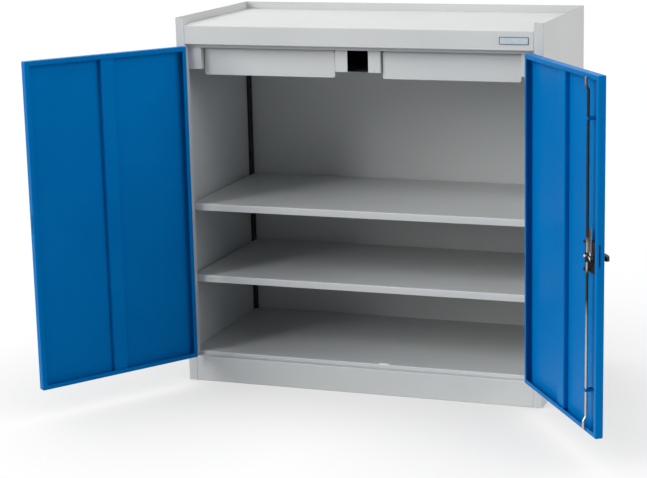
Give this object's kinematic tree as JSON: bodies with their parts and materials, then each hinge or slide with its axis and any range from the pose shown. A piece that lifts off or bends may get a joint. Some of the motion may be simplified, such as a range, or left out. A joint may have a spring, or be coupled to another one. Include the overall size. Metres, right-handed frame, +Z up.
{
  "type": "swing door cabinet",
  "caption": "Sheet steel workshop cabinet with a rimmed top, swing doors on barrel hinges, a rod lock, drawers on telescopic slides and adjustable shelves.",
  "frame": {"origin": "on the ground, in the middle of the plinth's bottom flange", "axes": "+X to the cabinet's right as seen from its front, +Y from the doors to the back, +Z up"},
  "size_m": [1.4808, 0.9176, 1],
  "materials": {
    "body_paint": "satin powder coat",
    "door_paint": "satin powder coat",
    "zinc": "bright zinc",
    "black_plastic": "moulded",
    "label": "smooth"
  },
  "bodies": {
    "cabinet": {"left_side_panel": "body_paint", "right_side_panel": "body_paint", "back_panel": "body_paint", "top_tray": "body_paint", "plinth": "body_paint", "floor_panel": "body_paint", "drawer_divider": "body_paint", "left_slide_bracket": "body_paint", "right_slide_bracket": "body_paint", "label_holder": "label", "upper_shelf": "body_paint", "lower_shelf": "body_paint", "left_front_rail": "body_paint", "left_rear_rail": "body_paint", "right_front_rail": "body_paint", "right_rear_rail": "body_paint", "upper_left_front_clip": "zinc", "upper_left_rear_clip": "zinc", "upper_right_front_clip": "zinc", "upper_right_rear_clip": "zinc", "lower_left_front_clip": "zinc", "lower_left_rear_clip": "zinc", "lower_right_front_clip": "zinc", "lower_right_rear_clip": "zinc", "left_inner_slide_fixed": "zinc", "left_outer_slide_fixed": "zinc", "right_inner_slide_fixed": "zinc", "right_outer_slide_fixed": "zinc", "left_lower_hinge_fixed": "body_paint", "left_upper_hinge_fixed": "body_paint", "right_lower_hinge_fixed": "body_paint", "right_upper_hinge_fixed": "body_paint"},
    "left_door": {"left_door": "door_paint", "left_door_stiffener": "door_paint", "left_lower_hinge_leaf": "door_paint", "left_upper_hinge_leaf": "door_paint"},
    "right_door": {"right_door": "door_paint", "right_door_stiffener": "door_paint", "right_lower_hinge_leaf": "door_paint", "right_upper_hinge_leaf": "door_paint", "lock_case": "black_plastic", "lock_rose": "black_plastic", "upper_rod_guide": "door_paint", "lower_rod_guide": "door_paint"},
    "left_drawer": {"left_drawer_box": "body_paint", "left_drawer_front": "body_paint", "left_inner_slide_drawer": "zinc", "left_outer_slide_drawer": "zinc"},
    "right_drawer": {"right_drawer_box": "body_paint", "right_drawer_front": "body_paint", "right_inner_slide_drawer": "zinc", "right_outer_slide_drawer": "zinc"},
    "left_slides": {"left_inner_slide_middle": "zinc", "left_outer_slide_middle": "zinc"},
    "right_slides": {"right_inner_slide_middle": "zinc", "right_outer_slide_middle": "zinc"},
    "lock": {"lock_cam": "zinc", "lock_handle": "black_plastic"},
    "upper_rod": {"upper_rod": "zinc"},
    "lower_rod": {"lower_rod": "zinc"}
  },
  "joints": [
    {"name": "left_door_swing", "type": "hinge", "parent": "cabinet", "child": "left_door", "pos_m": [-0.4775, -0.023, 0.5], "axis": [0, 0, -1], "range_deg": [-124, 0]},
    {"name": "right_door_swing", "type": "hinge", "parent": "cabinet", "child": "right_door", "pos_m": [0.4775, -0.023, 0.5], "axis": [0, 0, 1], "range_deg": [-124, 0]},
    {"name": "left_drawer_pull", "type": "slide", "parent": "cabinet", "child": "left_drawer", "axis": [0, -1, 0], "range_m": [0, 0.4]},
    {"name": "right_drawer_pull", "type": "slide", "parent": "cabinet", "child": "right_drawer", "axis": [0, -1, 0], "range_m": [0, 0.4]},
    {"name": "left_slides_run", "type": "slide", "parent": "cabinet", "child": "left_slides", "axis": [0, -1, 0], "range_m": [0, 0.2]},
    {"name": "right_slides_run", "type": "slide", "parent": "cabinet", "child": "right_slides", "axis": [0, -1, 0], "range_m": [0, 0.2]},
    {"name": "lock_turn", "type": "hinge", "parent": "right_door", "child": "lock", "pos_m": [0.70433, -0.3736, 0.499], "axis": [0.829, 0.5592, 0], "range_deg": [0, 90]},
    {"name": "upper_rod_run", "type": "slide", "parent": "right_door", "child": "upper_rod", "axis": [0, 0, 1], "range_m": [0, 0.016]},
    {"name": "lower_rod_run", "type": "slide", "parent": "right_door", "child": "lower_rod", "axis": [0, 0, -1], "range_m": [0, 0.016]}
  ],
  "couplings": [
    {"joint": "left_slides_run", "follows": "left_drawer_pull", "ratio": 0.5},
    {"joint": "right_slides_run", "follows": "right_drawer_pull", "ratio": 0.5},
    {"joint": "upper_rod_run", "follows": "lock_turn", "m_per_rad": 0.010186},
    {"joint": "lower_rod_run", "follows": "lock_turn", "m_per_rad": 0.010186}
  ]
}
